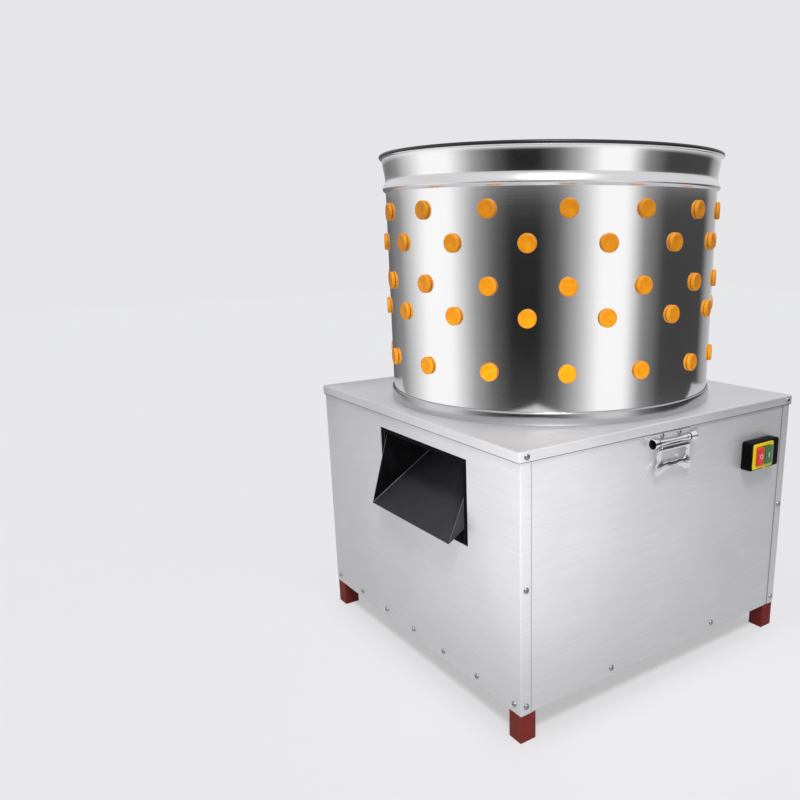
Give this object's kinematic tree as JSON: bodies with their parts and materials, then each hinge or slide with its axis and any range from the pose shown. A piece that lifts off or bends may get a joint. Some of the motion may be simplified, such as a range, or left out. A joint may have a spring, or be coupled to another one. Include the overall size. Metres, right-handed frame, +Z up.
{
  "type": "poultry plucker",
  "caption": "Drum poultry plucker: a steel barrel lined with rubber fingers over a belt-driven fingered turntable, on a square cabinet with a feather chute, push-button switch and handles.",
  "frame": {"origin": "on the floor, under the axis of the barrel and turntable", "axes": "+Z up along the barrel's axis, -Y out of the front panel with the switch, -X out of the panel with the chute"},
  "size_m": [0.665, 0.6554, 0.86],
  "materials": {
    "stainless_sheet": "fine horizontal brushing",
    "polished_stainless": "bright polished",
    "oxide_paint": "satin red-oxide paint",
    "zinc_fasteners": "bright zinc",
    "dark_sheet": "satin dark sheet",
    "orange_rubber": "moulded, semi-matte",
    "cast_iron": "as cast",
    "machined_steel": "turned",
    "motor_paint": "satin enamel",
    "black_plastic": "moulded",
    "black_rubber": "matte",
    "ivory_plastic": "moulded",
    "yellow_plastic": "moulded",
    "red_plastic": "moulded",
    "green_plastic": "moulded",
    "chrome_plate": "bright chrome"
  },
  "bodies": {
    "base": {"front_left_leg": "oxide_paint", "front_right_leg": "oxide_paint", "rear_left_leg": "oxide_paint", "rear_right_leg": "oxide_paint", "top_rails": "oxide_paint", "bottom_rails": "oxide_paint", "drive_rails": "oxide_paint", "drive_crossbars": "oxide_paint", "bearing_rails": "oxide_paint", "bearing_crossbars": "oxide_paint", "bearing_plate": "oxide_paint", "drive_plate": "oxide_paint", "front_panel": "stainless_sheet", "rear_panel": "stainless_sheet", "left_panel": "stainless_sheet", "right_panel": "stainless_sheet", "deck": "stainless_sheet", "panel_screws": "zinc_fasteners", "feather_tray": "stainless_sheet", "chute_floor": "dark_sheet", "chute_cheeks": "dark_sheet", "barrel_shell": "polished_stainless", "barrel_base_ring": "polished_stainless", "wall_fingers_row_1": "orange_rubber", "wall_fingers_row_2": "orange_rubber", "wall_fingers_row_3": "orange_rubber", "wall_fingers_row_4": "orange_rubber", "wall_fingers_row_5": "orange_rubber", "bearing_housings": "cast_iron", "shaft_bearings": "machined_steel", "bearing_bolts": "zinc_fasteners", "motor_body": "motor_paint", "motor_end_bell": "motor_paint", "fan_cowl": "motor_paint", "terminal_box": "black_plastic", "run_capacitor": "black_plastic", "motor_bolts": "zinc_fasteners", "drive_belts": "black_rubber", "cable_gland": "black_plastic", "switch_box": "black_plastic", "switch_contact_block": "ivory_plastic", "switch_plate": "yellow_plastic", "handle_plates": "chrome_plate", "handle_rivets": "chrome_plate"},
    "turntable": {"turntable_plate": "polished_stainless", "plate_fingers": "orange_rubber", "turntable_hub": "cast_iron", "hub_bolts_group": "zinc_fasteners", "main_shaft": "machined_steel", "cap_nut": "zinc_fasteners", "driven_pulley": "cast_iron", "sweep_paddles": "black_rubber"},
    "rotor": {"motor_rotor": "machined_steel", "motor_pulley": "cast_iron", "motor_fan": "black_plastic"},
    "front_bail": {"front_handle_bail": "chrome_plate"},
    "rear_bail": {"rear_handle_bail": "chrome_plate"},
    "stop": {"stop_button": "red_plastic"},
    "start": {"start_button": "green_plastic"}
  },
  "joints": [
    {"name": "turntable_spin", "type": "hinge", "parent": "base", "child": "turntable", "pos_m": [0, 0, 0.452], "axis": [0, 0, 1], "continuous": true},
    {"name": "motor_spin", "type": "hinge", "parent": "base", "child": "rotor", "pos_m": [0.195, 0, 0.295], "axis": [0, 0, 1], "continuous": true},
    {"name": "front_handle_swing", "type": "hinge", "parent": "base", "child": "front_bail", "pos_m": [-0.009, -0.3158, 0.422], "axis": [-1, 0, 0], "range_deg": [0, 90]},
    {"name": "rear_handle_swing", "type": "hinge", "parent": "base", "child": "rear_bail", "pos_m": [-0.009, 0.3158, 0.422], "axis": [1, 0, 0], "range_deg": [0, 90]},
    {"name": "stop_button_press", "type": "slide", "parent": "base", "child": "stop", "axis": [0, 1, 0], "range_m": [0, 0.003], "stiffness_N_per_m": 400, "springref_m": -0.002},
    {"name": "start_button_press", "type": "slide", "parent": "base", "child": "start", "axis": [0, 1, 0], "range_m": [0, 0.003], "stiffness_N_per_m": 400, "springref_m": -0.002}
  ],
  "couplings": [
    {"joint": "motor_spin", "follows": "turntable_spin", "ratio": 3.901}
  ]
}
